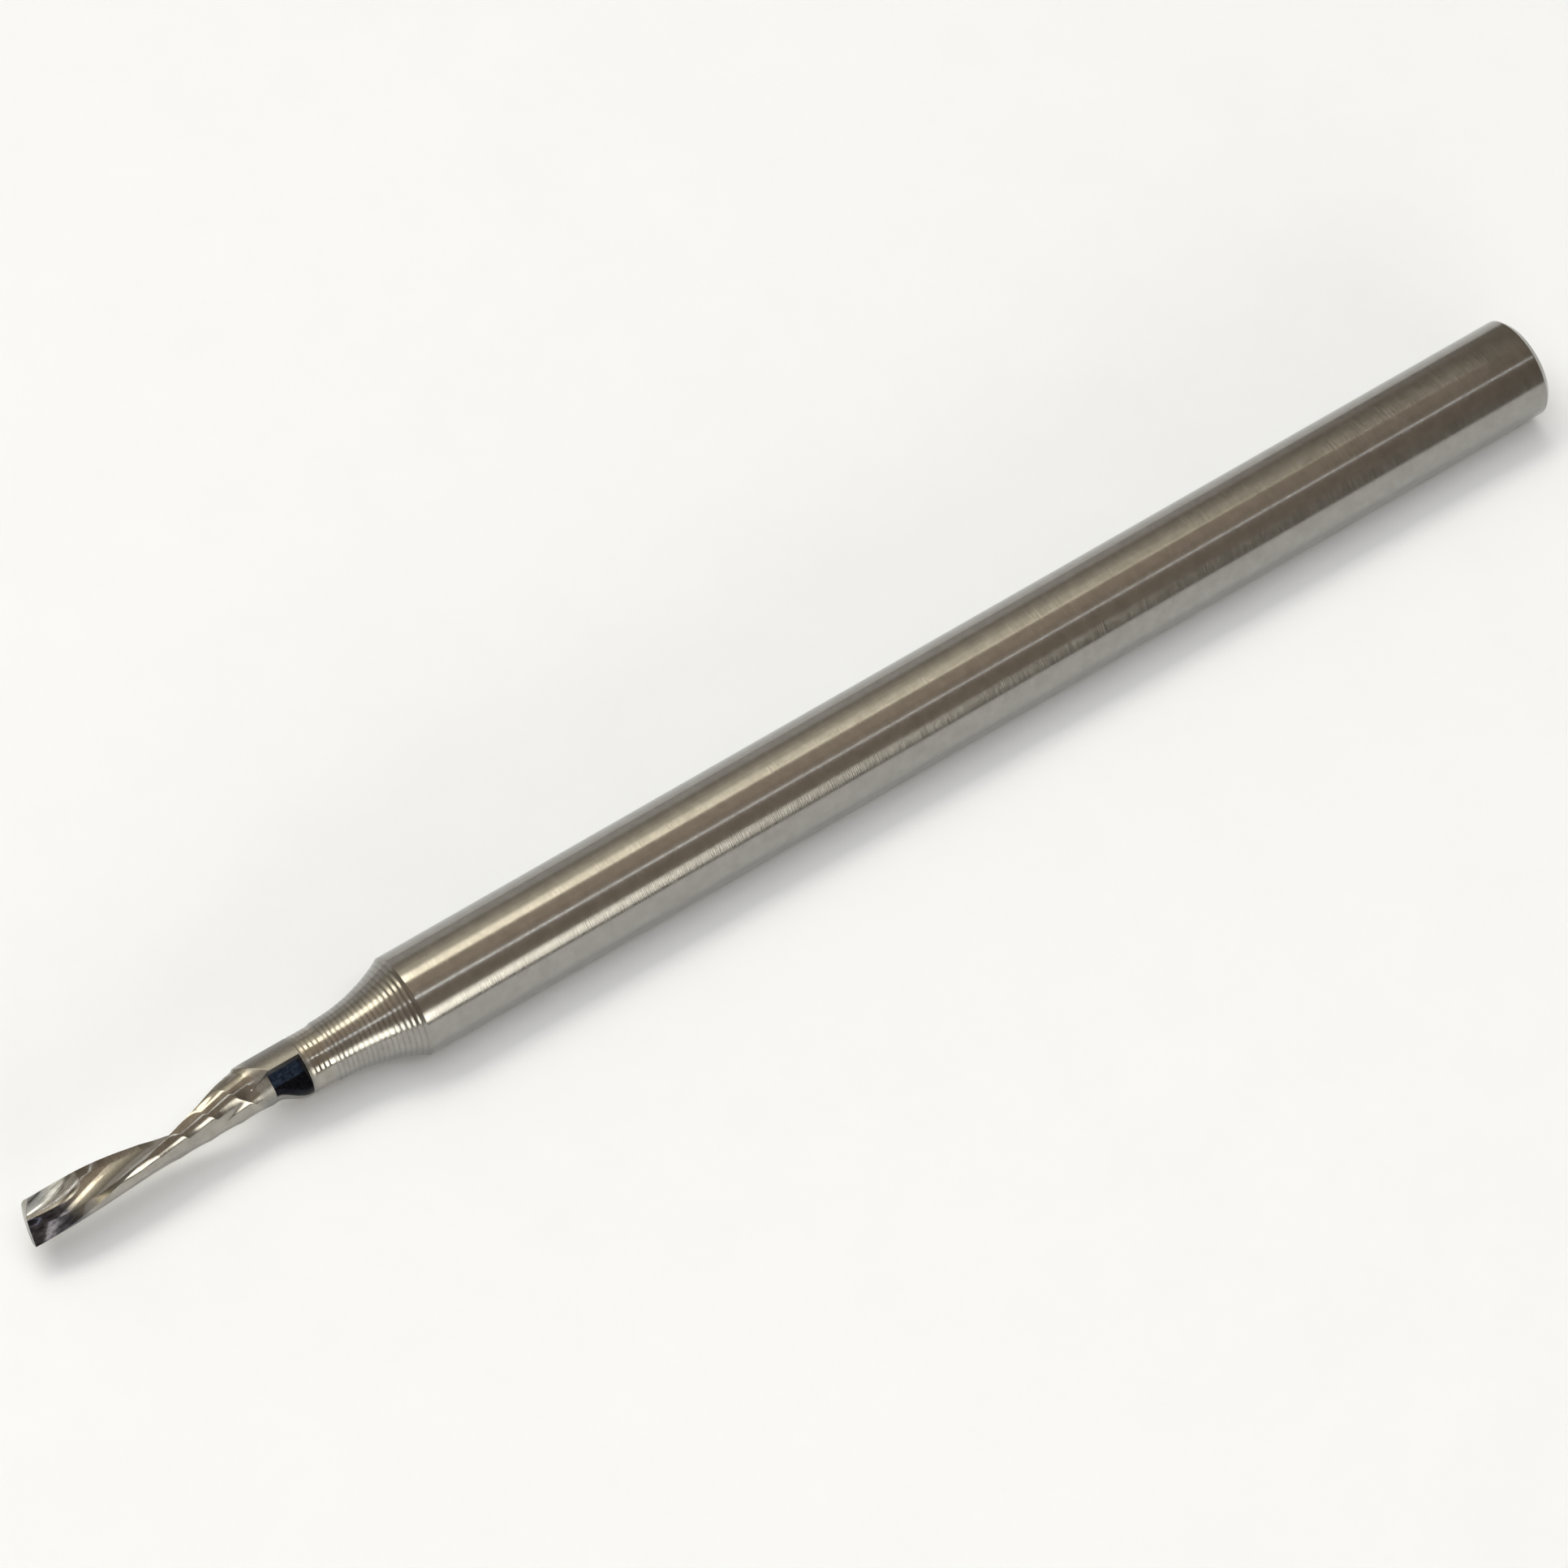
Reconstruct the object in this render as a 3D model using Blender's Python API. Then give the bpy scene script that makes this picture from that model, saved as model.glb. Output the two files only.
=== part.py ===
"""Single-flute carbide end mill, ground from one round blank.

The tool lies along X: the shank's flat end face is at the origin, facing +X, and the cutting
corner is at the far -X end. +Z is up and the shank rests on z = -SHANK_RADIUS.

One piece of carbide carries three ground zones. Each zone is its own solid:
    shank         the cylinder that the collet holds, chamfered at its free end
    neck          the concave taper from the shank down to the blank of the cutting end
    cutting_head  the fluted, relieved cutting end

Distances called "reach" are measured from the cutting corner towards the shank.
"""

import math

import bmesh
import bpy
from mathutils import Matrix, Vector

MM = 0.001

# Driving dimensions
OVERALL_LENGTH = 50.0 * MM
SHANK_RADIUS = 1.5 * MM
SHANK_START = 12.0 * MM
SHANK_CHAMFER = 0.18 * MM
SHANK_FRONT_EDGE = 0.02 * MM

BLANK_RADIUS = 0.85 * MM
NECK_START = 9.35 * MM
NECK_STEP_LENGTH = 0.22 * MM
NECK_STEP_RADIUS = 0.895 * MM
ZONE_GAP = 0.01 * MM

# Cutting head: one round-bottomed, left-hand flute
CUTTING_RADIUS = 0.70 * MM
HEEL_RADIUS = 0.565 * MM
FLUTE_LEAD = 15.5 * MM
FLUTE_RADIUS = 0.85 * MM
FLUTE_FLOOR = -0.08 * MM
FLUTE_CENTRE = math.radians(-70.5)
FLUTE_RUNOUT_START = 6.3 * MM
FLUTE_RUNOUT_END = 8.4 * MM
POLE_DISTANCE = 0.30 * MM
CORNER_CLOCK = math.radians(211.0)

# Clearance ground behind the cutting edge, as angles behind that edge
RELIEF_START = math.radians(12.0)
RELIEF_FULL = math.radians(84.0)
LAND_GROWTH_START = 5.1 * MM
LAND_GROWTH_END = 6.7 * MM
LAND_END_RADIUS = 0.80 * MM
LAND_END = 7.0 * MM
LAND_END_SWEEP = 0.62 * MM
LAND_RUN_PER_RISE = 2.4

# Window that the clearance wheel leaves at the end of its travel: a flat floor and a slanted
# lower wall, each given by the angle that it faces and its distance from the axis
WINDOW_START = 7.65 * MM
WINDOW_END = 8.62 * MM
WINDOW_WALL = 0.03 * MM
WINDOW_TOP = math.radians(64.0)
WINDOW_EDGE = math.radians(3.0)
WINDOW_FLATS = (
    (math.radians(95.0), 0.50 * MM),
    (math.radians(77.0), 0.448 * MM),
)
HEEL_RAMP_START = 7.70 * MM
HEEL_RAMP_END = 8.55 * MM

# End face: dished towards the heel, rounded at the heel, backed off behind the rake face
END_DISH = math.tan(math.radians(11.0))
END_BACKOFF = math.tan(math.radians(6.0))
END_BLEND = 1.2 * MM
HEEL_CORNER_START = 0.98 * MM
HEEL_CORNER_CURVE = 1.9 / MM

# Gash ground across the rake face at the tip; it reaches further on the heel side
GASH_REACH_CUTTING = 1.1 * MM
GASH_REACH_HEEL = 1.95 * MM
GASH_SLOPE = 0.09

TURNED_SIDES = 72
NECK_RINGS = 16

CARBIDE = (0.36, 0.34, 0.31, 1.0)
CARBIDE_NECK = (0.42, 0.39, 0.34, 1.0)
CARBIDE_HEAD = (0.30, 0.28, 0.26, 1.0)


def clear_scene():
    """Remove whatever the open file holds."""
    for item in list(bpy.data.objects):
        bpy.data.objects.remove(item, do_unlink=True)


def carbide_material(name, colour, roughness):
    """Ground carbide: a grey metal with the given colour and roughness."""
    material = bpy.data.materials.new(name)
    material.use_nodes = True
    shader = material.node_tree.nodes["Principled BSDF"]
    shader.inputs["Base Color"].default_value = colour
    shader.inputs["Metallic"].default_value = 1.0
    shader.inputs["Roughness"].default_value = roughness
    return material


def finish_object(name, bm, material):
    """Turn a closed bmesh into a smooth-shaded object with crisp ground edges."""
    bmesh.ops.recalc_face_normals(bm, faces=bm.faces)
    mesh = bpy.data.meshes.new(name)
    bm.to_mesh(mesh)
    bm.free()
    mesh.materials.append(material)
    mesh.shade_smooth()
    mesh.set_sharp_from_angle(angle=math.radians(28.0))
    piece = bpy.data.objects.new(name, mesh)
    bpy.context.collection.objects.link(piece)
    return piece


def skin_rings(bm, rings):
    """Join neighbouring rings of points with quads and close both ends."""
    loops = [[bm.verts.new(point) for point in ring] for ring in rings]
    count = len(loops[0])
    for inner, outer in zip(loops, loops[1:]):
        for index in range(count):
            following = (index + 1) % count
            bm.faces.new((inner[index], inner[following], outer[following], outer[index]))
    for loop in (loops[0], loops[-1]):
        centre = sum((vert.co for vert in loop), loop[0].co * 0.0) / count
        hub = bm.verts.new(centre)
        for index in range(count):
            bm.faces.new((loop[index], loop[(index + 1) % count], hub))


def turned_rings(profile):
    """Rings of a turned shape. The profile is a list of (reach, radius)."""
    rings = []
    for reach, radius in profile:
        ring = []
        for side in range(TURNED_SIDES):
            angle = 2.0 * math.pi * side / TURNED_SIDES
            ring.append((reach - OVERALL_LENGTH, radius * math.cos(angle), radius * math.sin(angle)))
        rings.append(ring)
    return rings


def make_shank():
    """The plain cylinder, with a chamfer at its free end."""
    profile = [
        (SHANK_START + ZONE_GAP, SHANK_RADIUS - SHANK_FRONT_EDGE),
        (SHANK_START + ZONE_GAP + SHANK_FRONT_EDGE, SHANK_RADIUS),
        (OVERALL_LENGTH - SHANK_CHAMFER, SHANK_RADIUS),
        (OVERALL_LENGTH, SHANK_RADIUS - SHANK_CHAMFER),
    ]
    bm = bmesh.new()
    skin_rings(bm, turned_rings(profile))
    return finish_object("shank", bm, carbide_material("ground_shank", CARBIDE, 0.32))


def neck_arc():
    """The concave arc between the step of the blank and the shank, as (reach, radius)."""
    start = NECK_START + NECK_STEP_LENGTH
    length = SHANK_START - start
    rise = SHANK_RADIUS - SHANK_FRONT_EDGE - NECK_STEP_RADIUS
    arc_radius = (length * length + rise * rise) / (2.0 * rise)
    points = []
    for step in range(NECK_RINGS + 1):
        along = length * step / NECK_RINGS
        height = arc_radius - math.sqrt(arc_radius * arc_radius - along * along)
        points.append((start + along, NECK_STEP_RADIUS + height))
    return points


def make_neck():
    """The small step off the blank, then the concave taper up to the shank."""
    profile = [(NECK_START + ZONE_GAP, BLANK_RADIUS)] + neck_arc()
    bm = bmesh.new()
    skin_rings(bm, turned_rings(profile))
    return finish_object("neck", bm, carbide_material("ground_neck", CARBIDE_NECK, 0.28))


def ease(value, start, end):
    """Smooth step from 0 at start to 1 at end."""
    share = min(max((value - start) / (end - start), 0.0), 1.0)
    return share * share * (3.0 - 2.0 * share)


def edge_clock(reach):
    """Angle of the cutting edge about X. The twist stops where the clearance wheel stops."""
    return CORNER_CLOCK - 2.0 * math.pi * min(reach, WINDOW_START) / FLUTE_LEAD


def flute_floor(behind, reach):
    """Signed distance from the axis to the flute's floor, with the gash and the run-out."""
    height = math.sin(behind - FLUTE_CENTRE)
    gash_reach = GASH_REACH_HEEL + (GASH_REACH_CUTTING - GASH_REACH_HEEL) * 0.5 * (1.0 + height)
    gash = GASH_SLOPE * max(gash_reach - reach, 0.0)
    travel = max(reach - FLUTE_RUNOUT_START, 0.0) / (FLUTE_RUNOUT_END - FLUTE_RUNOUT_START)
    return FLUTE_FLOOR - gash + (BLANK_RADIUS - FLUTE_FLOOR) * travel * travel


def window_floor(behind):
    """Radius of the window's floor or lower wall, whichever stands further out."""
    radius = 0.0
    for facing, distance in WINDOW_FLATS:
        slant = math.cos(behind - facing)
        radius = max(radius, distance / slant) if slant > 0.0 else BLANK_RADIUS
    return radius


def land_radius(behind, reach):
    """Radius of the land, with the clearance that falls away behind the cutting edge."""
    growth = ease(reach, LAND_GROWTH_START, LAND_GROWTH_END)
    edge = CUTTING_RADIUS + (LAND_END_RADIUS - CUTTING_RADIUS) * growth
    ground = edge + (HEEL_RADIUS - edge) * ease(behind, RELIEF_START, RELIEF_FULL)
    if behind <= WINDOW_TOP:
        rise = BLANK_RADIUS - ground
        end = LAND_END + LAND_END_SWEEP * max(behind, 0.0)
        share = (reach - end) / (LAND_RUN_PER_RISE * rise) + 1.0
        return ground + rise * min(max(share, 0.0), 1.0)
    ramp = ground + (BLANK_RADIUS - ground) * ease(reach, HEEL_RAMP_START, HEEL_RAMP_END)
    cut = ease(reach, WINDOW_START, WINDOW_START + WINDOW_WALL)
    radius = ramp + (min(ramp, window_floor(behind)) - ramp) * cut
    return radius + (BLANK_RADIUS - radius) * ease(reach, WINDOW_END, WINDOW_END + WINDOW_WALL)


def polar(radius, angle):
    """Point of the section at a radius and an angle."""
    return Vector((radius * math.cos(angle), radius * math.sin(angle)))


def wrapped(behind):
    """The same angle, between FLUTE_CENTRE and one turn more, where the land is continuous."""
    return FLUTE_CENTRE + (behind - FLUTE_CENTRE) % (2.0 * math.pi)


def section_point(behind, reach):
    """Point of the section: the land, pulled in towards a pole where the flute cuts it away."""
    land = polar(land_radius(wrapped(behind), reach), behind)
    centre = polar(FLUTE_RADIUS + flute_floor(behind, reach), FLUTE_CENTRE)
    if (land - centre).length >= FLUTE_RADIUS:
        return land
    pole = polar(-POLE_DISTANCE, FLUTE_CENTRE)
    ray = (land - pole).normalized()
    towards = (centre - pole).dot(ray)
    miss = (centre - pole).length_squared - towards * towards
    return pole + ray * (towards - math.sqrt(FLUTE_RADIUS * FLUTE_RADIUS - miss))


def flute_edge(side, reach):
    """Angle where the flute meets the land: side is +1 at the cutting edge, -1 at the heel."""
    inside = FLUTE_CENTRE
    outside = FLUTE_CENTRE + side * math.radians(100.0)
    reach = min(reach, FLUTE_RUNOUT_START)
    for _ in range(40):
        middle = 0.5 * (inside + outside)
        land = polar(land_radius(wrapped(middle), reach), middle)
        centre = polar(FLUTE_RADIUS + flute_floor(middle, reach), FLUTE_CENTRE)
        if (land - centre).length < FLUTE_RADIUS:
            inside = middle
        else:
            outside = middle
    return outside


def spread(start, end, count):
    """Evenly spaced values from start up to, but not including, end."""
    return [start + (end - start) * index / count for index in range(count)]


def head_angles(reach):
    """Angles behind the cutting edge for one ring, with points on every ground edge."""
    cutting = flute_edge(1, reach)
    heel = flute_edge(-1, reach) + 2.0 * math.pi
    stops = [
        (cutting, 3),
        (RELIEF_START, 9),
        (WINDOW_TOP, 1),
        (WINDOW_TOP + WINDOW_EDGE, 18),
        (heel, 24),
        (cutting + 2.0 * math.pi, 0),
    ]
    angles = []
    for (start, count), (end, _) in zip(stops, stops[1:]):
        angles += spread(start, end, count)
    return angles


def head_stations():
    """Reach of each ring, closer together at the tip, the run-outs and the window."""
    stations = spread(0.0, 0.3 * MM, 3)
    stations += spread(0.3 * MM, LAND_GROWTH_START, 24)
    stations += spread(LAND_GROWTH_START, LAND_GROWTH_END, 7)
    stations += spread(LAND_GROWTH_END, WINDOW_START, 14)
    stations += [WINDOW_START, WINDOW_START + WINDOW_WALL]
    stations += spread(HEEL_RAMP_START, HEEL_RAMP_END, 8)
    stations += [HEEL_RAMP_END, WINDOW_END, WINDOW_END + WINDOW_WALL, NECK_START]
    return stations


def end_setback(y, z):
    """How far the end face lies behind the cutting corner at one point of the tip."""
    clock = edge_clock(0.0)
    rake = clock + FLUTE_CENTRE
    corner = polar(CUTTING_RADIUS, clock)
    offset = corner - Vector((y, z))
    across = max(offset.dot(polar(1.0, rake + 0.5 * math.pi)), 0.0)
    depth = max(offset.dot(polar(1.0, rake)), 0.0)
    rounding = HEEL_CORNER_CURVE * max(across - HEEL_CORNER_START, 0.0) ** 2
    return END_DISH * across + END_BACKOFF * depth + rounding


def make_cutting_head():
    """Skin the fluted section from the tip to the neck, turning it with the lead."""
    rings = []
    for reach in head_stations():
        turn = Matrix.Rotation(edge_clock(reach), 2)
        ring = []
        for behind in head_angles(reach):
            y, z = turn @ section_point(behind, reach)
            setback = end_setback(y, z) * (1.0 - ease(reach, 0.0, END_BLEND))
            ring.append((reach + setback - OVERALL_LENGTH, y, z))
        rings.append(ring)
    bm = bmesh.new()
    skin_rings(bm, rings)
    return finish_object("cutting_head", bm, carbide_material("ground_head", CARBIDE_HEAD, 0.22))


clear_scene()
make_shank()
make_neck()
make_cutting_head()
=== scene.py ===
"""Looks for the single-flute carbide end mill: fine ground surfaces, carbide materials, light."""

import math

import bmesh
import bpy
from mathutils import Matrix, Vector


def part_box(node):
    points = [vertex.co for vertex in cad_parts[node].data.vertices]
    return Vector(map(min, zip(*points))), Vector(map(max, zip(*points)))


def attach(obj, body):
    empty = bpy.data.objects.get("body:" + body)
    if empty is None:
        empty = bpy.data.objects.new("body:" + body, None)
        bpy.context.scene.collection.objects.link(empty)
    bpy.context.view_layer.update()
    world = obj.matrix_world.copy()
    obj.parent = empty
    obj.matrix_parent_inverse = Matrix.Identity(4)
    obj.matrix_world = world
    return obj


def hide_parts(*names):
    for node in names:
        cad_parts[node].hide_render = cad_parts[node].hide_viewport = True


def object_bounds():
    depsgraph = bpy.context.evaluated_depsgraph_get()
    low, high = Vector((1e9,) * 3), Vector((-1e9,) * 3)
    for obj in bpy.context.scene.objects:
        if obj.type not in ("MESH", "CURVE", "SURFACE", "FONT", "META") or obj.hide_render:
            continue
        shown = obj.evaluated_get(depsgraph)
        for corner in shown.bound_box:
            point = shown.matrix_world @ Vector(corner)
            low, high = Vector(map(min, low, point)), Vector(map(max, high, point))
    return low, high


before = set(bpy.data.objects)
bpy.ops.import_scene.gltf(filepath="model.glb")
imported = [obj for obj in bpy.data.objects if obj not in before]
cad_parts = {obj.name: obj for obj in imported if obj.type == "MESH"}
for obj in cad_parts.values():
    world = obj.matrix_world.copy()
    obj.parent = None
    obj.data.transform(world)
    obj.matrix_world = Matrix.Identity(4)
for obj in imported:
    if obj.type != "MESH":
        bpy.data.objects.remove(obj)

CAD_BOX = [list(corner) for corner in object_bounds()]

MM = 0.001

# The nominal length places the tip; the other sizes here are read from the frame
OVERALL_LENGTH = 50.0 * MM
TIP_X = CAD_BOX[1][0] - OVERALL_LENGTH
SHANK_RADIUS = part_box("shank")[1][2]
SHANK_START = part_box("shank")[0][0] - TIP_X
NECK_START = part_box("neck")[0][0] - TIP_X
BLANK_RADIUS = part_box("cutting_head")[1][2]

# Shank and neck, repeated from the CAD
SHANK_CHAMFER = 0.18 * MM
SHANK_FRONT_EDGE = 0.02 * MM
NECK_STEP_LENGTH = 0.22 * MM
NECK_STEP_RADIUS = 0.895 * MM

# Cutting head, repeated from the CAD; reach is measured from the tip
CUTTING_RADIUS = 0.70 * MM
HEEL_RADIUS = 0.565 * MM
FLUTE_LEAD = 15.5 * MM
FLUTE_RADIUS = 0.85 * MM
FLUTE_FLOOR = -0.08 * MM
FLUTE_CENTRE = math.radians(-70.5)
FLUTE_RUNOUT_START = 6.3 * MM
FLUTE_RUNOUT_END = 8.4 * MM
POLE_DISTANCE = 0.30 * MM
CORNER_CLOCK = math.radians(211.0)
RELIEF_START = math.radians(12.0)
RELIEF_FULL = math.radians(84.0)
LAND_GROWTH_START = 5.1 * MM
LAND_GROWTH_END = 6.7 * MM
LAND_END_RADIUS = 0.80 * MM
LAND_END = 7.0 * MM
LAND_END_SWEEP = 0.62 * MM
LAND_RUN_PER_RISE = 2.4
WINDOW_START = 7.65 * MM
WINDOW_END = 8.62 * MM
WINDOW_WALL = 0.03 * MM
WINDOW_TOP = math.radians(64.0)
WINDOW_EDGE = math.radians(3.0)
WINDOW_FLATS = (
    (math.radians(95.0), 0.50 * MM),
    (math.radians(77.0), 0.448 * MM),
)
HEEL_RAMP_START = 7.70 * MM
HEEL_RAMP_END = 8.55 * MM
END_DISH = math.tan(math.radians(11.0))
END_BACKOFF = math.tan(math.radians(6.0))
END_BLEND = 1.2 * MM
HEEL_CORNER_START = 0.98 * MM
HEEL_CORNER_CURVE = 1.9 / MM
GASH_REACH_CUTTING = 1.1 * MM
GASH_REACH_HEEL = 1.95 * MM
GASH_SLOPE = 0.09

# Finer than the CAD: rounder turning, softened corners, a soft end to the gash, and ring marks
TURNED_SIDES = 256
SHARP_ANGLE = math.radians(24.0)
CHAMFER_ROUNDING = 0.03 * MM
FRONT_ROUNDING = 0.6 * SHANK_FRONT_EDGE
GASH_SOFT_END = 0.12 * MM
RING_PITCH = 0.145 * MM
RING_DEPTH = 0.008 * MM
RING_DRIFT_PITCH = 3.7 * RING_PITCH

# Shallow scallops left by the wheel's separate bites
SCALLOP_PITCH = 0.80 * MM
SCALLOP_OFFSET = 0.19 * MM
SCALLOP_DEPTH = 0.022 * MM
SCALLOP_SKEW = 0.79
SCALLOP_START = 3.0 * MM
SCALLOP_FULL = 5.0 * MM
FLOOR_SCALLOP_PITCH = 1.29 * MM
FLOOR_SCALLOP_DEPTH = 0.004 * MM
FLOOR_SCALLOP_START = 2.0 * MM
FLOOR_SCALLOP_FULL = 3.0 * MM

# Painted light on the gash: painted highlight streaks above a border, which falls with reach, and painted
# shade below it
GASH_BORDER = 0.30
GASH_BORDER_FALL = 0.30 / MM
GASH_BORDER_WIDTH = 0.25
PAINTED_HIGHLIGHT_FADE_START = -0.02 * MM
PAINTED_HIGHLIGHT_FADE_FULL = 0.03 * MM
PAINTED_SHADE_FADE_START = 1.1 * MM
PAINTED_SHADE_FADE_END = 1.9 * MM
CORNER_SHADE_ANGLE = math.radians(60.0)
HIGHLIGHT_STREAK_TURN = (0.0, math.radians(-8.5), math.radians(15.9))
HIGHLIGHT_STREAK_STRETCH = 8.0

# Painted shade, standing for a dark reflection, on the window's two flats, and how far the matte blank
# reaches beside it
WINDOW_SHADE_DEPTH_START = 0.03 * MM
WINDOW_SHADE_DEPTH_FULL = 0.01 * MM
WINDOW_SHADE_SIDE_START = 0.38 * MM
WINDOW_SHADE_SIDE_FULL = 0.43 * MM
WINDOW_SHADE_TOP_END = 0.31 * MM
WINDOW_SHADE_TOP_FULL = 0.28 * MM
WINDOW_SHADE_FADE = 0.02 * MM
BLACK_START = 0.08 * MM
BLACK_FULL = 0.12 * MM
MATTE_START = LAND_END + 0.35 * MM
MATTE_FADE = 0.25 * MM

# Camera
CAMERA_TARGET = Vector((-0.0254, 0.0001, 0.0))
CAMERA_AZIMUTH = math.radians(34.4)
CAMERA_ELEVATION = math.radians(56.98)
CAMERA_DISTANCE = 0.2213
CAMERA_SENSOR = 36.0
CAMERA_LENS = 184.3

# Stretch of a procedural texture along X, Y and Z
EVEN = (1.0, 1.0, 1.0)
RING_LINES = (40.0, 1.0, 1.0)
HEAD_LINES = (8.0, 1.0, 1.0)

# Studio: long panels beside the tool, each (angle above +Y, width in degrees, radiance)
PANEL_DISTANCE = 0.30
CREAM = (1.0, 0.94, 0.76)
WARM_WHITE = (1.0, 0.98, 0.89)
COOL_WHITE = (0.90, 0.96, 1.0)
NEUTRAL = (1.0, 1.0, 1.0)
BROWN = (1.0, 0.82, 0.62)
FAR_PANELS = (
    (31.0, 10.0, 0.16),
    (41.0, 10.0, 0.34),
    (51.0, 10.0, 0.60),
    (61.0, 10.0, 0.95),
    (70.0, 8.0, 1.05),
    (75.5, 3.0, 1.9),
)
FAR_SPAN = (-0.20, 0.105)
NEAR_PANELS = (
    (155.0, 6.0, 2.1),
    (162.0, 8.0, 1.4),
    (170.0, 8.0, 0.75),
)
NEAR_SPAN = (-0.20, 0.067)
CEILING_PANELS = (
    (88.0, 26.0, 0.30),
    (108.0, 14.0, 0.22),
    (134.0, 36.0, 0.13),
)
CEILING_SPAN = (-0.30, 0.125)
HORIZON_PANELS = ((13.0, 22.0, 0.34),)
HORIZON_SPAN = (-0.30, 0.115)
FAR_HOT_PANELS = ((69.0, 15.0, 3.0),)
NEAR_HOT_PANELS = ((165.0, 15.0, 3.2),)
STRIP_HOT_PANELS = ((116.0, 3.0, 6.0),)
HOT_SPAN = (-0.20, 0.046)
STRIP_PANELS = ((116.0, 1.8, 2.2),)
STRIP_SPAN = (-0.30, 0.25)
PANEL_GROUPS = (
    ("far", FAR_PANELS, FAR_SPAN, CREAM),
    ("far_hot", FAR_HOT_PANELS, HOT_SPAN, CREAM),
    ("near", NEAR_PANELS, NEAR_SPAN, WARM_WHITE),
    ("near_hot", NEAR_HOT_PANELS, HOT_SPAN, WARM_WHITE),
    ("ceiling", CEILING_PANELS, CEILING_SPAN, BROWN),
    ("horizon", HORIZON_PANELS, HORIZON_SPAN, NEUTRAL),
    ("strip", STRIP_PANELS, STRIP_SPAN, COOL_WHITE),
    ("strip_hot", STRIP_HOT_PANELS, HOT_SPAN, COOL_WHITE),
)
FLOOR_PANEL_SIZE = 2.0
FLOOR_PANEL_PLACE = (-0.3, 0.2, 1.6)
FLOOR_PANEL_POWER = 16.0
FLOOR_PANEL_COLOUR = (0.84, 0.92, 1.0)
ROOM_COLOURS = (
    (0.0, (0.24, 0.22, 0.19, 1.0)),
    (0.15, (0.22, 0.185, 0.15, 1.0)),
    (0.45, (0.28, 0.235, 0.19, 1.0)),
    (1.0, (0.27, 0.24, 0.20, 1.0)),
)


def piece_from(name, bm, material, node):
    """Make a piece from a bmesh, put it on the rigid body and let it stand for its CAD node."""
    bmesh.ops.recalc_face_normals(bm, faces=bm.faces)
    mesh = bpy.data.meshes.new(name)
    bm.to_mesh(mesh)
    bm.free()
    mesh.materials.append(material)
    mesh.shade_smooth()
    mesh.set_sharp_from_angle(angle=SHARP_ANGLE)
    piece = bpy.data.objects.new(name, mesh)
    bpy.context.collection.objects.link(piece)
    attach(piece, "root")
    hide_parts(node)
    return piece


def skin_rings(bm, rings):
    """Join neighbouring rings of points with quads and close both ends with a fan."""
    loops = [[bm.verts.new(point) for point in ring] for ring in rings]
    count = len(loops[0])
    for inner, outer in zip(loops, loops[1:]):
        for index in range(count):
            following = (index + 1) % count
            bm.faces.new((inner[index], inner[following], outer[following], outer[index]))
    for loop in (loops[0], loops[-1]):
        centre = sum((vert.co for vert in loop), Vector()) / count
        hub = bm.verts.new(centre)
        for index in range(count):
            bm.faces.new((loop[index], loop[(index + 1) % count], hub))


def turned_rings(profile):
    """Rings of a turned shape. The profile is a list of (reach, radius)."""
    rings = []
    for reach, radius in profile:
        ring = []
        for side in range(TURNED_SIDES):
            angle = 2.0 * math.pi * side / TURNED_SIDES
            ring.append((reach + TIP_X, radius * math.cos(angle), radius * math.sin(angle)))
        rings.append(ring)
    return rings


def spread(start, end, count):
    """Evenly spaced values from start up to, but not including, end."""
    return [start + (end - start) * index / count for index in range(count)]


def ease(value, start, end):
    """Smooth step from 0 at start to 1 at end."""
    share = min(max((value - start) / (end - start), 0.0), 1.0)
    return share * share * (3.0 - 2.0 * share)


def rounded_corner(before, corner, after, size, steps=5):
    """Points of a soft corner between two straight stretches of a profile."""
    before, corner, after = Vector(before), Vector(corner), Vector(after)
    start = corner + (before - corner).normalized() * size
    end = corner + (after - corner).normalized() * size
    points = []
    for step in range(steps + 1):
        share = step / steps
        points.append(tuple(start * (1 - share) ** 2 + corner * 2 * share * (1 - share) + end * share ** 2))
    return points


def make_shank(material):
    """The cylinder that the collet holds, with softened corners at both ends of its chamfer."""
    front = (SHANK_START, SHANK_RADIUS - SHANK_FRONT_EDGE)
    shoulder = (SHANK_START + SHANK_FRONT_EDGE, SHANK_RADIUS)
    outer = (OVERALL_LENGTH - SHANK_CHAMFER, SHANK_RADIUS)
    inner = (OVERALL_LENGTH, SHANK_RADIUS - SHANK_CHAMFER)
    hub = (OVERALL_LENGTH, 0.0)
    profile = [front] + rounded_corner(front, shoulder, outer, FRONT_ROUNDING)
    profile += [(reach, SHANK_RADIUS) for reach in spread(SHANK_START + 0.5 * MM, outer[0] - 0.5 * MM, 24)]
    profile += rounded_corner(shoulder, outer, inner, CHAMFER_ROUNDING)
    profile += rounded_corner(outer, inner, hub, CHAMFER_ROUNDING)
    profile += [(OVERALL_LENGTH, share * (SHANK_RADIUS - SHANK_CHAMFER)) for share in (0.7, 0.35)]
    bm = bmesh.new()
    skin_rings(bm, turned_rings(profile))
    return piece_from("shank_ground", bm, material, "shank")


def neck_radius(reach):
    """Radius of the neck: the small step off the blank, then a concave arc up to the shank."""
    arc_start = NECK_START + NECK_STEP_LENGTH
    if reach < arc_start:
        share = ease(reach, NECK_START, arc_start)
        return BLANK_RADIUS + (NECK_STEP_RADIUS - BLANK_RADIUS) * share
    length = SHANK_START - arc_start
    rise = SHANK_RADIUS - SHANK_FRONT_EDGE - NECK_STEP_RADIUS
    arc_radius = (length * length + rise * rise) / (2.0 * rise)
    travel = min(reach - arc_start, length)
    return NECK_STEP_RADIUS + arc_radius - math.sqrt(arc_radius * arc_radius - travel * travel)


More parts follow.
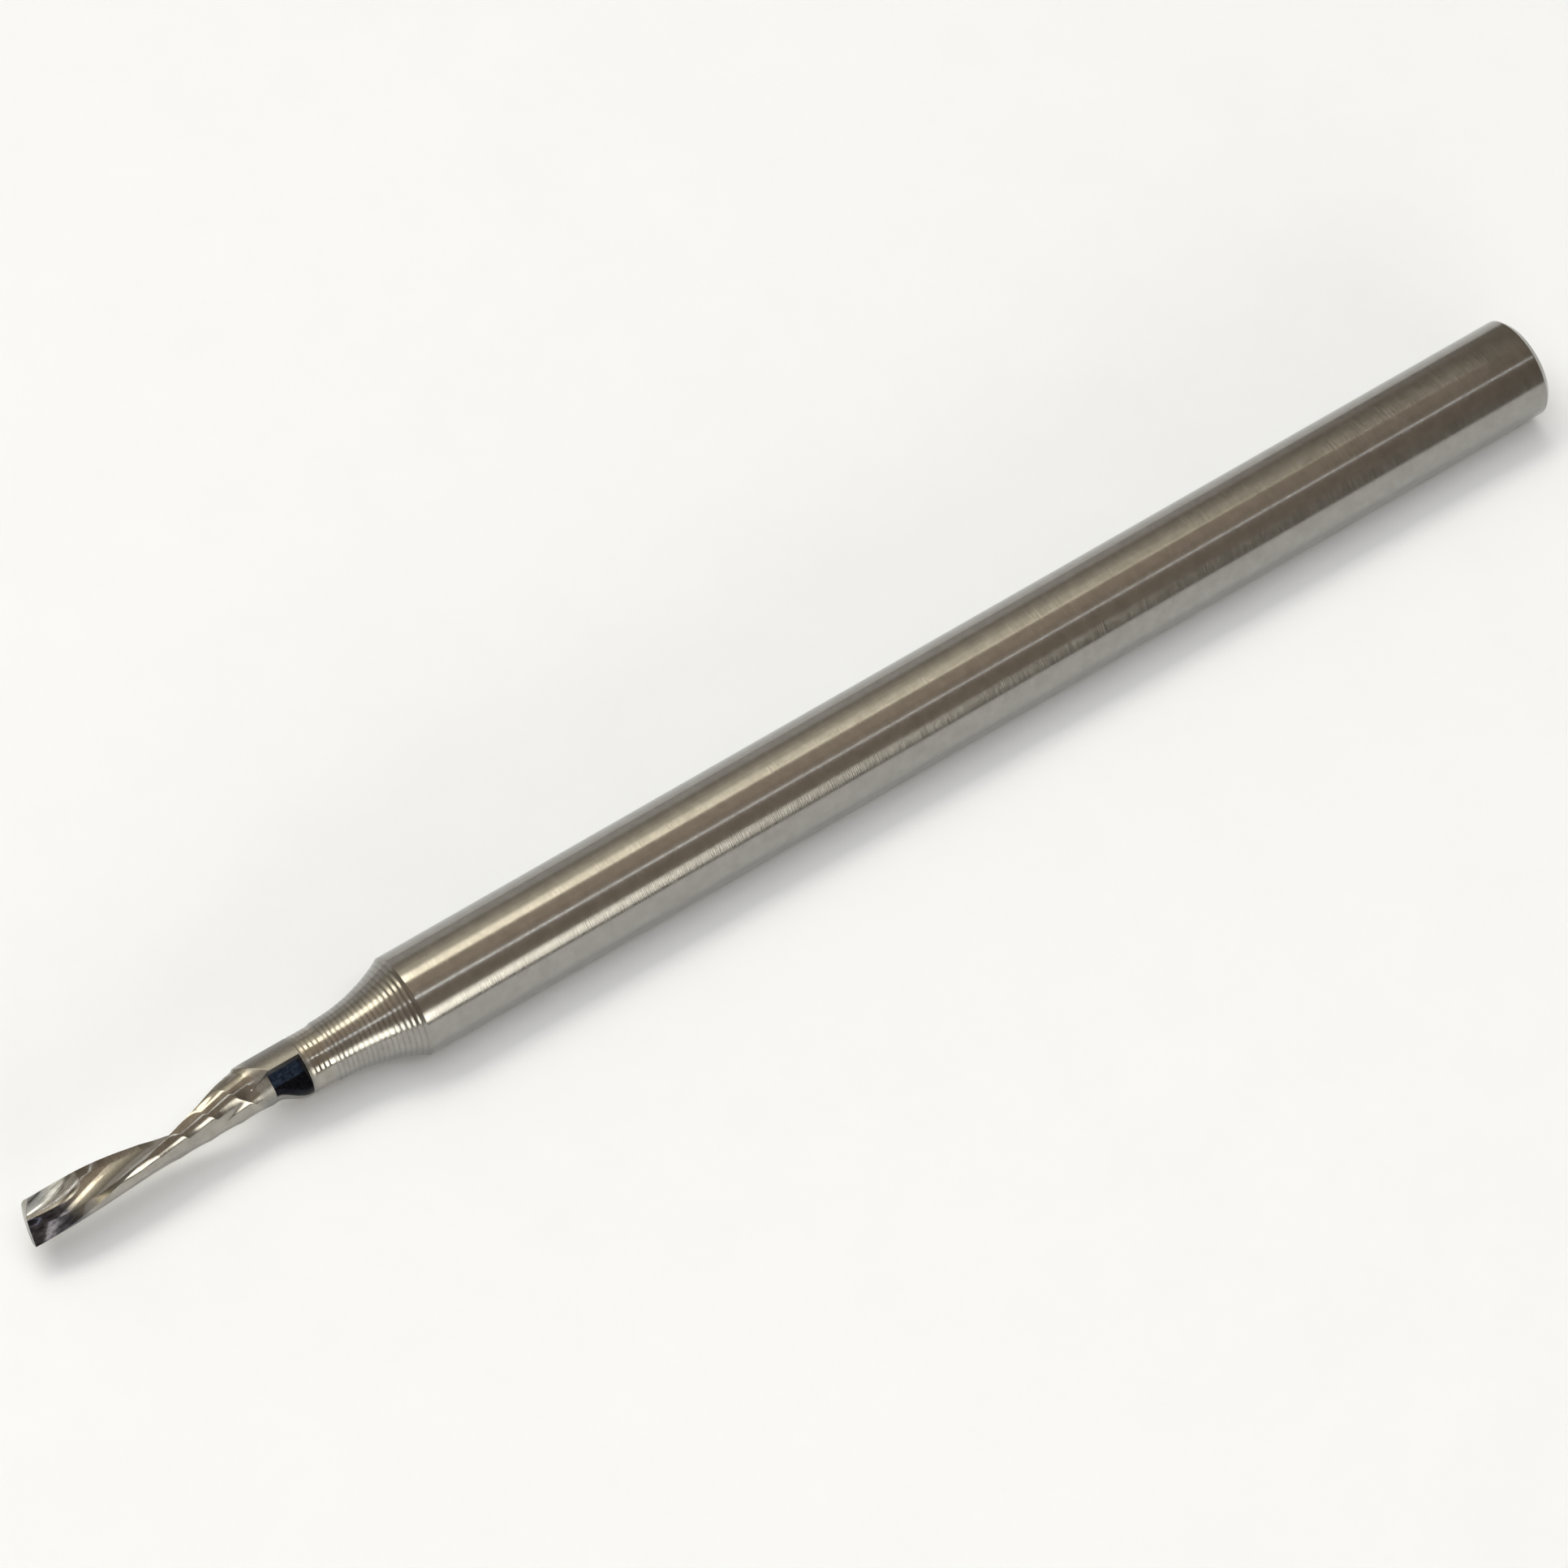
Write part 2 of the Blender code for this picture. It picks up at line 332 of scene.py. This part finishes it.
def ring_mark(reach):
    """Depth of the turned-looking rings that the wheel's path leaves on the neck."""
    wave = math.sin(2.0 * math.pi * reach / RING_PITCH)
    drift = math.sin(2.0 * math.pi * reach / RING_DRIFT_PITCH + 1.3)
    return RING_DEPTH * (0.5 + 0.35 * wave + 0.15 * drift)


def make_neck(material):
    """The concave taper, with its fine ring marks cut into the surface."""
    profile = []
    for reach in spread(NECK_START, SHANK_START, 360):
        profile.append((reach, neck_radius(reach) - ring_mark(reach)))
    profile.append((SHANK_START, SHANK_RADIUS - SHANK_FRONT_EDGE))
    bm = bmesh.new()
    skin_rings(bm, turned_rings(profile))
    return piece_from("neck_ground", bm, material, "neck")


def edge_clock(reach):
    """Angle of the cutting edge about X. The twist stops where the clearance wheel stops."""
    return CORNER_CLOCK - 2.0 * math.pi * min(reach, WINDOW_START) / FLUTE_LEAD


def polar(radius, angle):
    """Point of the section at a radius and an angle."""
    return Vector((radius * math.cos(angle), radius * math.sin(angle)))


def scallop(phase):
    """Shape of one bite: 0 on the cusps between bites and 1 in the hollow."""
    share = phase % 1.0
    return 4.0 * share * (1.0 - share)


def gash_end(behind):
    """Reach at which the gash meets the flute's floor."""
    height = math.sin(behind - FLUTE_CENTRE)
    return GASH_REACH_HEEL + (GASH_REACH_CUTTING - GASH_REACH_HEEL) * 0.5 * (1.0 + height)


def flute_floor(behind, reach):
    """Signed distance from the axis to the flute's floor, with gash, bites and run-out."""
    before_end = max(gash_end(behind) - reach, 0.0)
    gash = GASH_SLOPE * before_end * before_end / (before_end + GASH_SOFT_END)
    depth = FLOOR_SCALLOP_DEPTH * scallop(reach / FLOOR_SCALLOP_PITCH)
    bites = depth * ease(reach, FLOOR_SCALLOP_START, FLOOR_SCALLOP_FULL)
    travel = max(reach - FLUTE_RUNOUT_START, 0.0) / (FLUTE_RUNOUT_END - FLUTE_RUNOUT_START)
    return FLUTE_FLOOR - gash - bites + (BLANK_RADIUS - FLUTE_FLOOR) * travel * travel


def window_floor(behind):
    """Radius of the window's floor or lower wall, whichever stands further out."""
    radius = 0.0
    for facing, distance in WINDOW_FLATS:
        slant = math.cos(behind - facing)
        radius = max(radius, distance / slant) if slant > 0.0 else BLANK_RADIUS
    return radius


def land_radius(behind, reach):
    """Radius of the land, with the clearance that falls away behind the cutting edge."""
    growth = ease(reach, LAND_GROWTH_START, LAND_GROWTH_END)
    edge = CUTTING_RADIUS + (LAND_END_RADIUS - CUTTING_RADIUS) * growth
    ground = edge + (HEEL_RADIUS - edge) * ease(behind, RELIEF_START, RELIEF_FULL)
    phase = (reach + SCALLOP_OFFSET - SCALLOP_SKEW * HEEL_RADIUS * behind) / SCALLOP_PITCH
    bites = ease(behind, 0.0, RELIEF_START) * ease(reach, SCALLOP_START, SCALLOP_FULL)
    ground -= SCALLOP_DEPTH * scallop(phase) * bites
    if behind <= WINDOW_TOP:
        rise = BLANK_RADIUS - ground
        end = LAND_END + LAND_END_SWEEP * max(behind, 0.0)
        share = (reach - end) / (LAND_RUN_PER_RISE * rise) + 1.0
        return ground + rise * min(max(share, 0.0), 1.0)
    ramp = ground + (BLANK_RADIUS - ground) * ease(reach, HEEL_RAMP_START, HEEL_RAMP_END)
    cut = ease(reach, WINDOW_START, WINDOW_START + WINDOW_WALL)
    radius = ramp + (min(ramp, window_floor(behind)) - ramp) * cut
    return radius + (BLANK_RADIUS - radius) * ease(reach, WINDOW_END, WINDOW_END + WINDOW_WALL)


def blank_rings(reach):
    """Depth of the ring marks on the full blank, between the window and the neck."""
    return ring_mark(reach) * ease(reach, WINDOW_END + WINDOW_WALL, WINDOW_END + 3.0 * WINDOW_WALL)


def wrapped(behind):
    """The same angle, between FLUTE_CENTRE and one turn more, where the land is continuous."""
    return FLUTE_CENTRE + (behind - FLUTE_CENTRE) % (2.0 * math.pi)


def section_point(behind, reach):
    """Point of the section: the land, pulled in towards a pole where the flute cuts it away."""
    land = polar(land_radius(wrapped(behind), reach), behind)
    centre = polar(FLUTE_RADIUS + flute_floor(behind, reach), FLUTE_CENTRE)
    if (land - centre).length >= FLUTE_RADIUS:
        return land
    pole = polar(-POLE_DISTANCE, FLUTE_CENTRE)
    ray = (land - pole).normalized()
    towards = (centre - pole).dot(ray)
    miss = (centre - pole).length_squared - towards * towards
    return pole + ray * (towards - math.sqrt(FLUTE_RADIUS * FLUTE_RADIUS - miss))


def flute_edge(side, reach):
    """Angle where the flute meets the land: side is +1 at the cutting edge, -1 at the heel."""
    inside = FLUTE_CENTRE
    outside = FLUTE_CENTRE + side * math.radians(100.0)
    reach = min(reach, FLUTE_RUNOUT_START)
    for _ in range(30):
        middle = 0.5 * (inside + outside)
        land = polar(land_radius(wrapped(middle), reach), middle)
        centre = polar(FLUTE_RADIUS + flute_floor(middle, reach), FLUTE_CENTRE)
        if (land - centre).length < FLUTE_RADIUS:
            inside = middle
        else:
            outside = middle
    return outside


def head_angles(reach):
    """Angles behind the cutting edge for one ring, with points on every ground edge."""
    cutting = flute_edge(1, reach)
    heel = flute_edge(-1, reach) + 2.0 * math.pi
    stops = [
        (cutting, 10),
        (RELIEF_START, 44),
        (WINDOW_TOP, 2),
        (WINDOW_TOP + WINDOW_EDGE, 80),
        (heel, 90),
        (cutting + 2.0 * math.pi, 0),
    ]
    angles = []
    for (start, count), (end, _) in zip(stops, stops[1:]):
        angles += spread(start, end, count)
    return angles


def head_stations():
    """Reach of each ring, closer together at the run-outs and the window."""
    stations = spread(0.0, 0.3 * MM, 16)
    stations += spread(0.3 * MM, LAND_GROWTH_END, 290)
    stations += spread(LAND_GROWTH_END, WINDOW_START, 60)
    stations += spread(WINDOW_START, WINDOW_START + WINDOW_WALL, 5)
    stations += spread(WINDOW_START + WINDOW_WALL, WINDOW_END, 44)
    stations += spread(WINDOW_END, WINDOW_END + WINDOW_WALL, 5)
    stations += spread(WINDOW_END + WINDOW_WALL, NECK_START, 96)
    stations.append(NECK_START)
    return stations


def end_setback(y, z):
    """How far the end face lies behind the cutting corner at one point of the tip."""
    clock = edge_clock(0.0)
    rake = clock + FLUTE_CENTRE
    corner = polar(CUTTING_RADIUS, clock)
    offset = corner - Vector((y, z))
    across = max(offset.dot(polar(1.0, rake + 0.5 * math.pi)), 0.0)
    depth = max(offset.dot(polar(1.0, rake)), 0.0)
    rounding = HEEL_CORNER_CURVE * max(across - HEEL_CORNER_START, 0.0) ** 2
    return END_DISH * across + END_BACKOFF * depth + rounding


def gash_marks(behind, heel, reach):
    """How far a point lies in the gash's upper part, which gets painted highlights, and in the corner under
    it, which gets painted shade.
    """
    if behind < heel:
        beside_edge = 1.0 - ease(behind, CORNER_SHADE_ANGLE, RELIEF_FULL)
        return 0.0, beside_edge * (1.0 - ease(reach, PAINTED_SHADE_FADE_START, PAINTED_SHADE_FADE_END))
    height = math.sin(behind - FLUTE_CENTRE)
    border = GASH_BORDER - GASH_BORDER_FALL * reach
    lower = ease(height, border, border + GASH_BORDER_WIDTH)
    painted_highlight = ease(gash_end(behind) - reach, PAINTED_HIGHLIGHT_FADE_START, PAINTED_HIGHLIGHT_FADE_FULL) * (1.0 - lower)
    painted_shade = lower * (1.0 - ease(reach, PAINTED_SHADE_FADE_START, PAINTED_SHADE_FADE_END))
    return painted_highlight, painted_shade


def store_marks(mesh, name, marks):
    """Store one value per point on the mesh, for the material to read."""
    attribute = mesh.attributes.new(name, "FLOAT", "POINT")
    for index, mark in enumerate(marks):
        attribute.data[index].value = mark


def make_cutting_head(material):
    """Skin the fluted section from the tip to the neck, turning it with the lead."""
    rings = []
    marks = []
    for reach in head_stations():
        turn = Matrix.Rotation(edge_clock(reach), 2)
        heel = flute_edge(-1, reach) + 2.0 * math.pi
        ring = []
        for behind in head_angles(reach):
            y, z = turn @ (section_point(behind, reach) * (1.0 - blank_rings(reach) / BLANK_RADIUS))
            setback = end_setback(y, z) * (1.0 - ease(reach, 0.0, END_BLEND))
            ring.append((reach + setback + TIP_X, y, z))
            marks.append(gash_marks(behind, heel, reach))
        rings.append(ring)
    bm = bmesh.new()
    skin_rings(bm, rings)
    piece = piece_from("cutting_head_ground", bm, material, "cutting_head")
    # Marks for the material: painted highlights on the gash and painted shade in the corner beside it
    store_marks(piece.data, "gash", [painted_highlight for painted_highlight, _ in marks])
    store_marks(piece.data, "painted_shade", [painted_shade for _, painted_shade in marks])


def add_node(tree, kind, **inputs):
    """Add a shader node and set its unlinked inputs by name."""
    node = tree.nodes.new(kind)
    for name, value in inputs.items():
        node.inputs[name].default_value = value
    return node


def grey(value):
    """A grey colour."""
    return (value, value, value, 1.0)


def colour_ramp(tree, source, stops):
    """Run a value through a colour ramp made of (position, colour) stops."""
    node = tree.nodes.new("ShaderNodeValToRGB")
    elements = node.color_ramp.elements
    elements[0].position, elements[0].color = stops[0]
    elements[1].position, elements[1].color = stops[-1]
    for position, colour in stops[1:-1]:
        elements.new(position).color = colour
    tree.links.new(source, node.inputs["Fac"])
    return node.outputs["Color"]


def stretched_noise(tree, stretch, scale, detail):
    """Noise over the object, squeezed or drawn out along X, Y and Z."""
    place = tree.nodes.new("ShaderNodeTexCoord")
    mapping = tree.nodes.new("ShaderNodeMapping")
    mapping.inputs["Scale"].default_value = stretch
    noise = add_node(tree, "ShaderNodeTexNoise", Scale=scale, Detail=detail, Roughness=0.6)
    tree.links.new(place.outputs["Object"], mapping.inputs["Vector"])
    tree.links.new(mapping.outputs["Vector"], noise.inputs["Vector"])
    return noise.outputs["Fac"]


def carbide(name, dark, light, roughness, line_stretch, line_scale, line_height):
    """Ground tungsten carbide: mottled colour, uneven polish and fine grinding lines."""
    material = bpy.data.materials.new(name)
    material.use_nodes = True
    tree = material.node_tree
    shader = tree.nodes["Principled BSDF"]
    shader.inputs["Metallic"].default_value = 1.0
    mottle = stretched_noise(tree, EVEN, 2600.0, 5.0)
    tint = colour_ramp(tree, mottle, [(0.3, dark), (0.7, light)])
    tree.links.new(tint, shader.inputs["Base Color"])
    polish = stretched_noise(tree, line_stretch, line_scale * 0.6, 2.0)
    low, high = roughness
    rough = colour_ramp(tree, polish, [(0.3, grey(low)), (0.7, grey(high))])
    tree.links.new(rough, shader.inputs["Roughness"])
    lines = stretched_noise(tree, line_stretch, line_scale, 4.0)
    bump = add_node(tree, "ShaderNodeBump", Strength=1.0, Distance=line_height)
    tree.links.new(lines, bump.inputs["Height"])
    tree.links.new(bump.outputs["Normal"], shader.inputs["Normal"])
    return material


def step_mask(tree, value, low, high):
    """0 below low and 1 above high."""
    node = tree.nodes.new("ShaderNodeMapRange")
    node.inputs["From Min"].default_value = low
    node.inputs["From Max"].default_value = high
    tree.links.new(value, node.inputs["Value"])
    return node.outputs["Result"]


def multiply(tree, first, second):
    """Product of two values."""
    node = tree.nodes.new("ShaderNodeMath")
    node.operation = "MULTIPLY"
    tree.links.new(first, node.inputs[0])
    tree.links.new(second, node.inputs[1])
    return node.outputs["Value"]


def along(tree, angle):
    """Distance of the shaded point from the axis, measured at an angle about X."""
    place = tree.nodes.new("ShaderNodeTexCoord")
    dot = tree.nodes.new("ShaderNodeVectorMath")
    dot.operation = "DOT_PRODUCT"
    dot.inputs[1].default_value = (0.0, math.cos(angle), math.sin(angle))
    tree.links.new(place.outputs["Object"], dot.inputs[0])
    return dot.outputs["Value"]


def blend_colour(tree, mask, first, second):
    """Blend from the first colour to the second as the mask goes from 0 to 1."""
    mix = tree.nodes.new("ShaderNodeMix")
    mix.data_type = "RGBA"
    tree.links.new(mask, mix.inputs["Factor"])
    tree.links.new(first, mix.inputs[6])
    tree.links.new(second, mix.inputs[7])
    return mix.outputs[2]


def larger(tree, first, second):
    """The larger of two values."""
    node = tree.nodes.new("ShaderNodeMath")
    node.operation = "MAXIMUM"
    tree.links.new(first, node.inputs[0])
    tree.links.new(second, node.inputs[1])
    return node.outputs["Value"]


def between(tree, start, end, edge):
    """1 where the shaded point's reach lies between start and end, fading over the edge."""
    place = tree.nodes.new("ShaderNodeTexCoord")
    split = tree.nodes.new("ShaderNodeSeparateXYZ")
    tree.links.new(place.outputs["Object"], split.inputs["Vector"])
    after = step_mask(tree, split.outputs["X"], TIP_X + start - edge, TIP_X + start)
    before = step_mask(tree, split.outputs["X"], TIP_X + end + edge, TIP_X + end)
    return multiply(tree, after, before)


def cover(material, socket, mask, finish):
    """Lay a finish over what already feeds one of the shader's sockets, where the mask says."""
    tree = material.node_tree
    target = tree.nodes["Principled BSDF"].inputs[socket]
    under = target.links[0].from_socket
    tree.links.new(blend_colour(tree, mask, under, finish), target)


def stored_mark(tree, name):
    """A value that is stored on the mesh's points."""
    mark = tree.nodes.new("ShaderNodeAttribute")
    mark.attribute_name = name
    return mark.outputs["Fac"]


def paint_ring_groove_shade(material):
    """Paint shade into the grooves of the ring marks with a darker colour."""
    tree = material.node_tree
    place = tree.nodes.new("ShaderNodeTexCoord")
    split = tree.nodes.new("ShaderNodeSeparateXYZ")
    tree.links.new(place.outputs["Object"], split.inputs["Vector"])
    phase = tree.nodes.new("ShaderNodeMath")
    phase.operation = "MULTIPLY_ADD"
    phase.inputs[1].default_value = 2.0 * math.pi / RING_PITCH
    phase.inputs[2].default_value = -2.0 * math.pi * TIP_X / RING_PITCH
    tree.links.new(split.outputs["X"], phase.inputs[0])
    wave = tree.nodes.new("ShaderNodeMath")
    wave.operation = "SINE"
    tree.links.new(phase.outputs["Value"], wave.inputs[0])
    groove = step_mask(tree, wave.outputs["Value"], 0.1, 1.0)
    grain = stretched_noise(tree, EVEN, 5000.0, 3.0)
    dark = colour_ramp(tree, grain, [
        (0.3, (0.215, 0.207, 0.19, 1.0)),
        (0.7, (0.285, 0.275, 0.255, 1.0)),
    ])
    # Painted shade in the ring grooves
    cover(material, "Base Color", groove, dark)


def near_flat(tree, facing, distance):
    """1 on the window's flat that faces this way at this distance from the axis."""
    return step_mask(tree, along(tree, facing), distance + WINDOW_SHADE_DEPTH_START, distance + WINDOW_SHADE_DEPTH_FULL)


def paint_window_shade(material):
    """Paint shade on the window: a dark blue painted reflection on its floor and black painted shade on its
    lower wall.
    """
    tree = material.node_tree
    clock = edge_clock(WINDOW_START)
    floor, wall = WINDOW_FLATS
    facing = clock + floor[0]
    flats = larger(tree, near_flat(tree, facing, floor[1]), near_flat(tree, clock + wall[0], wall[1]))
    this_side = step_mask(tree, along(tree, facing), WINDOW_SHADE_SIDE_START, WINDOW_SHADE_SIDE_FULL)
    below_top = step_mask(tree, along(tree, facing - 0.5 * math.pi), WINDOW_SHADE_TOP_END, WINDOW_SHADE_TOP_FULL)
    end = WINDOW_END + 0.5 * WINDOW_WALL
    length = between(tree, WINDOW_START + WINDOW_SHADE_FADE, end, WINDOW_SHADE_FADE)
    mask = multiply(tree, multiply(tree, flats, this_side), multiply(tree, below_top, length))
    speckle = stretched_noise(tree, EVEN, 9000.0, 4.0)
    blue = colour_ramp(tree, speckle, [
        (0.35, (0.008, 0.012, 0.026, 1.0)),
        (0.8, (0.05, 0.07, 0.115, 1.0)),
    ])
    black = colour_ramp(tree, speckle, [
        (0.35, (0.003, 0.003, 0.005, 1.0)),
        (0.8, (0.016, 0.018, 0.024, 1.0)),
    ])
    on_wall = step_mask(tree, along(tree, facing + 0.5 * math.pi), BLACK_START, BLACK_FULL)
    # Painted shade: dark blue reflection on the floor, black shade on the lower wall
    cover(material, "Base Color", mask, blend_colour(tree, on_wall, blue, black))


def paint_gash_highlights(material):
    """Paint highlights on the gash at the tip: a paler colour than the flute with bright painted highlight
    streaks, and a coarser roughness.
    """
    tree = material.node_tree
    place = tree.nodes.new("ShaderNodeTexCoord")
    mapping = tree.nodes.new("ShaderNodeMapping")
    mapping.vector_type = "TEXTURE"
    mapping.inputs["Rotation"].default_value = HIGHLIGHT_STREAK_TURN
    mapping.inputs["Scale"].default_value = (HIGHLIGHT_STREAK_STRETCH, 1.0, 1.0)
    noise = add_node(tree, "ShaderNodeTexNoise", Scale=6500.0, Detail=3.0, Roughness=0.6)
    tree.links.new(place.outputs["Object"], mapping.inputs["Vector"])
    tree.links.new(mapping.outputs["Vector"], noise.inputs["Vector"])
    highlight_streaks = noise.outputs["Fac"]
    # Painted highlight: pale colour with white streaks that stand for reflections of the lights
    painted_highlight = colour_ramp(tree, highlight_streaks, [
        (0.34, (0.13, 0.12, 0.11, 1.0)),
        (0.46, (0.42, 0.42, 0.40, 1.0)),
        (0.60, (0.52, 0.52, 0.50, 1.0)),
        (0.70, (0.85, 0.85, 0.82, 1.0)),
    ])
    coarse = colour_ramp(tree, highlight_streaks, [(0.3, grey(0.36)), (0.7, grey(0.22))])
    gash = stored_mark(tree, "gash")
    cover(material, "Base Color", gash, painted_highlight)
    cover(material, "Roughness", gash, coarse)


def paint_corner_shade(material):
    """Paint shade over the corner beside the gash and the land by the cutting edge, near the tip."""
    tree = material.node_tree
    grain = stretched_noise(tree, (0.4, 1.0, 1.0), 7000.0, 3.0)
    dark = colour_ramp(tree, grain, [
        (0.35, (0.025, 0.025, 0.034, 1.0)),
        (0.7, (0.10, 0.10, 0.125, 1.0)),
    ])
    # Painted shade over the corner mark
    cover(material, "Base Color", stored_mark(tree, "painted_shade"), dark)


def dull_blank(material):
    """Leave the blank above and beside the window matte and a little darker."""
    tree = material.node_tree
    mask = between(tree, MATTE_START, WINDOW_END, MATTE_FADE)
    grain = stretched_noise(tree, EVEN, 14000.0, 3.0)
    matte = colour_ramp(tree, grain, [(0.3, grey(0.34)), (0.7, grey(0.46))])
    darker = colour_ramp(tree, grain, [
        (0.3, (0.22, 0.215, 0.20, 1.0)),
        (0.7, (0.29, 0.28, 0.265, 1.0)),
    ])
    cover(material, "Roughness", mask, matte)
    cover(material, "Base Color", mask, darker)


def make_floor():
    """The pale surface that the tool lies on."""
    bm = bmesh.new()
    size = 3.0
    corners = [(-size, -size), (size, -size), (size, size), (-size, size)]
    bm.faces.new([bm.verts.new((x, y, -SHANK_RADIUS)) for x, y in corners])
    mesh = bpy.data.meshes.new("floor")
    bm.to_mesh(mesh)
    bm.free()
    floor = bpy.data.objects.new("floor", mesh)
    bpy.context.collection.objects.link(floor)
    material = bpy.data.materials.new("pale_floor")
    material.use_nodes = True
    tree = material.node_tree
    shader = tree.nodes["Principled BSDF"]
    shader.inputs["Roughness"].default_value = 0.7
    grain = stretched_noise(tree, EVEN, 400.0, 3.0)
    white = colour_ramp(tree, grain, [(0.0, (0.81, 0.83, 0.87, 1.0)), (1.0, (0.84, 0.86, 0.90, 1.0))])
    tree.links.new(white, shader.inputs["Base Color"])
    mesh.materials.append(material)


def aim(thing, target):
    """Turn a light or camera at a place so that it looks at the target."""
    thing.rotation_euler = (target - thing.location).to_track_quat("-Z", "Y").to_euler()


def soft_light(name, panel, span, colour):
    """A long soft panel beside the tool. The span is where it starts and ends along X."""
    clock, width, radiance = panel
    start, end = span
    reach = 2.0 * PANEL_DISTANCE * math.tan(0.5 * math.radians(width))
    data = bpy.data.lights.new(name, "AREA")
    data.shape = "RECTANGLE"
    data.size = end - start
    data.size_y = reach
    data.energy = radiance * math.pi * data.size * data.size_y
    data.color = colour
    light = bpy.data.objects.new(name, data)
    bpy.context.collection.objects.link(light)
    angle = math.radians(clock)
    outward = Vector((0.0, math.cos(angle), math.sin(angle)))
    lengthwise = Vector((1.0, 0.0, 0.0))
    light.location = outward * PANEL_DISTANCE + lengthwise * 0.5 * (start + end)
    light.rotation_euler = Matrix((lengthwise, outward.cross(lengthwise), outward)).transposed().to_euler()
    light.visible_camera = False


def floor_light():
    """A wide panel overhead that lights the floor and stays out of the metal's reflections."""
    data = bpy.data.lights.new("floor_panel", "AREA")
    data.size = FLOOR_PANEL_SIZE
    data.energy = FLOOR_PANEL_POWER
    data.color = FLOOR_PANEL_COLOUR
    light = bpy.data.objects.new("floor_panel", data)
    bpy.context.collection.objects.link(light)
    light.location = FLOOR_PANEL_PLACE
    light.visible_camera = False
    light.visible_glossy = False


def make_room():
    """Dim room: neutral at the far horizon, warm overhead, darker on the camera's side."""
    world = bpy.data.worlds.new("room")
    world.use_nodes = True
    tree = world.node_tree
    place = tree.nodes.new("ShaderNodeTexCoord")
    split = tree.nodes.new("ShaderNodeSeparateXYZ")
    tree.links.new(place.outputs["Generated"], split.inputs["Vector"])
    shift = tree.nodes.new("ShaderNodeMath")
    shift.operation = "MULTIPLY_ADD"
    shift.inputs[1].default_value = 0.5
    shift.inputs[2].default_value = 0.5
    tree.links.new(split.outputs["Y"], shift.inputs[0])
    glow = colour_ramp(tree, shift.outputs["Value"], ROOM_COLOURS)
    tree.links.new(glow, tree.nodes["Background"].inputs["Color"])
    bpy.context.scene.world = world


def make_lights():
    """Soft panels on both long sides of the tool, a narrow strip by the camera and a dim room."""
    for group, panels, span, colour in PANEL_GROUPS:
        for number, panel in enumerate(panels):
            soft_light("%s_panel_%d" % (group, number), panel, span, colour)
    floor_light()
    make_room()


def make_camera():
    """Look down at the lying tool, from its tip's side."""
    data = bpy.data.cameras.new("camera")
    data.sensor_width = CAMERA_SENSOR
    data.lens = CAMERA_LENS
    data.clip_start = 0.005
    data.clip_end = 20.0
    camera = bpy.data.objects.new("camera", data)
    bpy.context.collection.objects.link(camera)
    back = Vector((
        -math.sin(CAMERA_AZIMUTH) * math.cos(CAMERA_ELEVATION),
        -math.cos(CAMERA_AZIMUTH) * math.cos(CAMERA_ELEVATION),
        math.sin(CAMERA_ELEVATION),
    ))
    camera.location = CAMERA_TARGET + back * CAMERA_DISTANCE
    aim(camera, CAMERA_TARGET)
    bpy.context.scene.camera = camera
    bpy.context.scene.view_settings.view_transform = "Standard"


make_camera()
make_lights()
make_floor()
shank_metal = carbide(
    "ground_shank", (0.29, 0.28, 0.26, 1.0), (0.34, 0.33, 0.31, 1.0), (0.12, 0.2),
    RING_LINES, 900.0, 0.002 * MM,
)
neck_metal = carbide(
    "ground_neck", (0.28, 0.27, 0.25, 1.0), (0.35, 0.34, 0.32, 1.0), (0.14, 0.24),
    RING_LINES, 700.0, 0.003 * MM,
)
head_metal = carbide(
    "ground_head", (0.29, 0.27, 0.24, 1.0), (0.38, 0.365, 0.33, 1.0), (0.10, 0.20),
    HEAD_LINES, 1500.0, 0.001 * MM,
)
paint_ring_groove_shade(neck_metal)
dull_blank(head_metal)
paint_gash_highlights(head_metal)
paint_corner_shade(head_metal)
paint_window_shade(head_metal)
make_shank(shank_metal)
make_neck(neck_metal)
make_cutting_head(head_metal)
